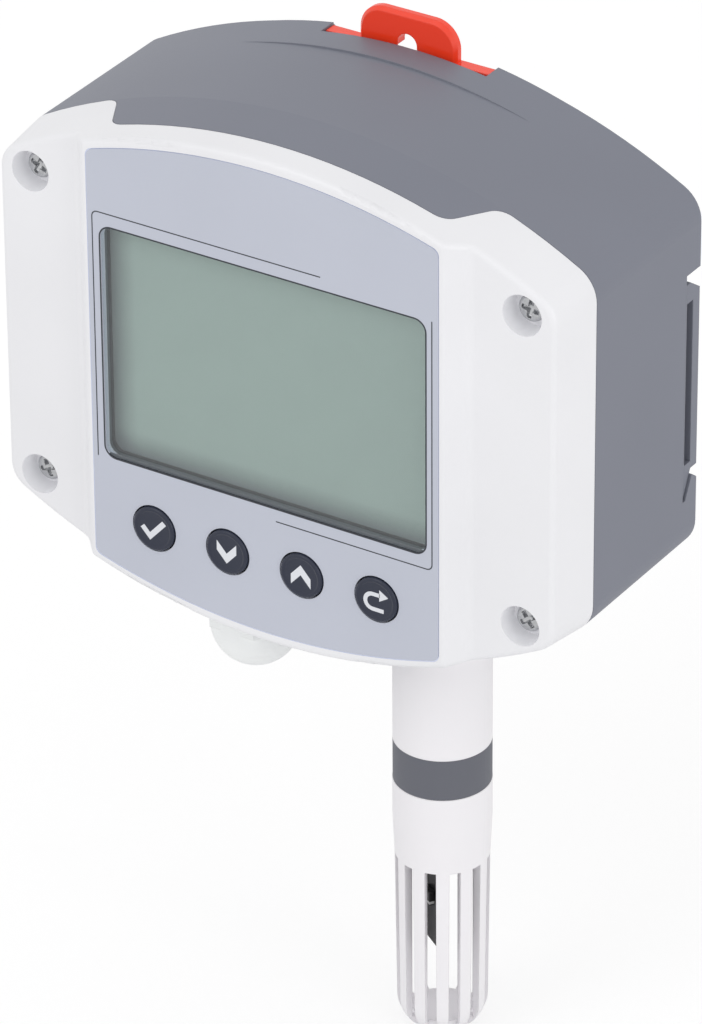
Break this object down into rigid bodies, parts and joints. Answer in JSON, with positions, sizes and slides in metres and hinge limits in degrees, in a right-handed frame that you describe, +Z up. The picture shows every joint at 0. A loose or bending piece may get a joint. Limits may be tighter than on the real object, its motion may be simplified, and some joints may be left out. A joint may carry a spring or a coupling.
{
  "type": "temperature humidity sensor",
  "caption": "Wall-mounted temperature and humidity sensor: display, push buttons, hanging slotted probe, cable gland and a sliding rail clip on a hook-on wall plate.",
  "frame": {"origin": "centre of the face that lies on the wall, on the rear face of the wall plate", "axes": "+X to the viewer's right, +Y towards the wall, +Z up"},
  "size_m": [0.105, 0.0465, 0.1737],
  "materials": {
    "cover_white": "moulded ABS, satin",
    "housing_grey": "moulded ABS, fine satin",
    "black_rubber": "moulded silicone",
    "zinc_steel": "zinc plated",
    "brass": "turned",
    "printed_film": "screen-printed polyester film, fine texture",
    "clear_acrylic": "clear, polished",
    "grey_frame": "moulded",
    "display_glass": "reflective display behind polariser",
    "light_guide": "milky acrylic",
    "tinned_pins": "tinned",
    "green_board": "solder-masked glass epoxy",
    "black_plastic": "moulded",
    "capacitor_can": "drawn can",
    "terminal_green": "moulded polyamide",
    "socket_white": "moulded polyamide",
    "black_board": "black solder mask",
    "chip_white": "moulded sensor housing",
    "probe_white": "moulded ABS, satin",
    "ring_grey": "moulded, matte",
    "gland_white": "moulded polyamide",
    "clip_red": "moulded polyamide",
    "key_black": "moulded, printed symbols"
  },
  "bodies": {
    "case": {"front_cover": "cover_white", "rear_housing": "housing_grey", "cover_gasket": "black_rubber", "cover_screws": "zinc_steel", "screw_inserts": "brass", "front_label": "printed_film", "window_lens": "clear_acrylic", "lcd_bezel": "grey_frame", "lcd_glass": "display_glass", "backlight": "light_guide", "lcd_pins": "tinned_pins", "main_board": "green_board", "board_screws": "zinc_steel", "tact_switches": "black_plastic", "control_chip": "black_plastic", "filter_capacitor": "capacitor_can", "terminal_block": "terminal_green", "terminal_screws": "zinc_steel", "sensor_socket": "socket_white", "sensor_lead": "black_rubber", "sensor_holder": "black_plastic", "sensor_board": "black_board", "sensor_chip": "chip_white", "probe_tube": "probe_white", "probe_seal": "black_rubber", "probe_nut": "probe_white", "probe_ring": "ring_grey", "gland_body": "gland_white", "gland_washer": "black_rubber", "gland_locknut": "gland_white", "gland_seal": "black_rubber", "wall_plate": "housing_grey"},
    "gland_nut": {"gland_nut": "gland_white"},
    "cap": {"probe_cap": "probe_white"},
    "clip": {"rail_clip": "clip_red"},
    "key_ok": {"button_ok": "key_black", "plunger_ok": "black_plastic"},
    "key_down": {"button_down": "key_black", "plunger_down": "black_plastic"},
    "key_up": {"button_up": "key_black", "plunger_up": "black_plastic"},
    "key_back": {"button_back": "key_black", "plunger_back": "black_plastic"}
  },
  "joints": [
    {"name": "press_ok", "type": "slide", "parent": "case", "child": "key_ok", "axis": [0, 1, 0], "range_m": [0, 0.0005], "stiffness_N_per_m": 2500, "springref_m": -0.0002},
    {"name": "press_down", "type": "slide", "parent": "case", "child": "key_down", "axis": [0, 1, 0], "range_m": [0, 0.0005], "stiffness_N_per_m": 2500, "springref_m": -0.0002},
    {"name": "press_up", "type": "slide", "parent": "case", "child": "key_up", "axis": [0, 1, 0], "range_m": [0, 0.0005], "stiffness_N_per_m": 2500, "springref_m": -0.0002},
    {"name": "press_back", "type": "slide", "parent": "case", "child": "key_back", "axis": [0, 1, 0], "range_m": [0, 0.0005], "stiffness_N_per_m": 2500, "springref_m": -0.0002},
    {"name": "clip_slide", "type": "slide", "parent": "case", "child": "clip", "axis": [0, 0, 1], "range_m": [0, 0.0045]},
    {"name": "gland_nut_turn", "type": "hinge", "parent": "case", "child": "gland_nut", "pos_m": [-0.018, -0.0215, -0.057], "axis": [0, 0, 1], "continuous": true},
    {"name": "cap_turn", "type": "hinge", "parent": "case", "child": "cap", "pos_m": [0.018, -0.0215, -0.1], "axis": [0, 0, 1], "continuous": true}
  ]
}
